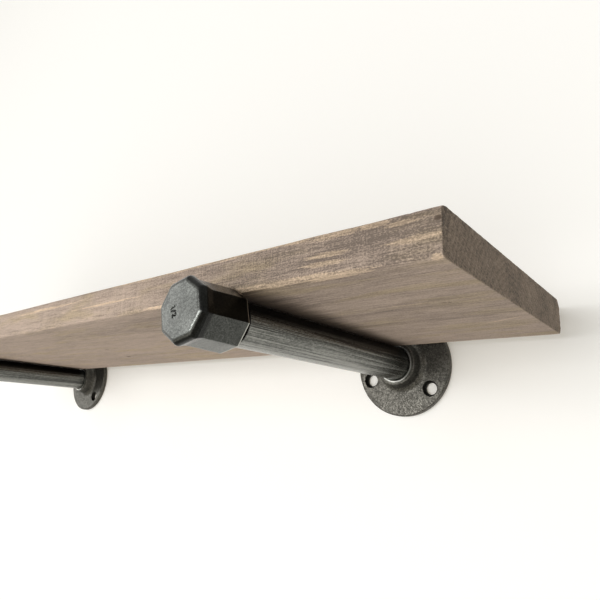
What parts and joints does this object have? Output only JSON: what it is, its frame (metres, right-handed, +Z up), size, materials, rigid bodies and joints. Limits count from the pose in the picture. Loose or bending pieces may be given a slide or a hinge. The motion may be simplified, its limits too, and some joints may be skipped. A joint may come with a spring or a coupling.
{
  "type": "pipe shelving unit",
  "caption": "Weathered wooden plank shelf resting on iron pipe brackets, each with a round wall flange and an octagonal end cap.",
  "frame": {"origin": "on the wall, midway between the two flanges, at the height of the pipe axes", "axes": "+X along the plank to the right seen from the front, +Y into the wall, +Z up"},
  "size_m": [0.6096, 0.1878, 0.067],
  "materials": {
    "weathered_wood": "grey-brown stained softwood, matte, worn lighter along the front edge",
    "cast_flange": "dark grey sand-cast iron, matte",
    "steel_pipe": "gunmetal grey, fine lengthwise streaks, satin",
    "cast_cap": "dark grey cast iron, smooth matte"
  },
  "bodies": {
    "brackets": {"right_flange": "cast_flange", "right_pipe": "steel_pipe", "right_end_cap": "cast_cap", "left_flange": "cast_flange", "left_pipe": "steel_pipe", "left_end_cap": "cast_cap"},
    "board": {"shelf_board": "weathered_wood"}
  },
  "joints": [
    {"name": "board_lift", "type": "slide", "parent": "brackets", "child": "board", "axis": [0, 0, 1], "range_m": [0, 0.08]}
  ]
}
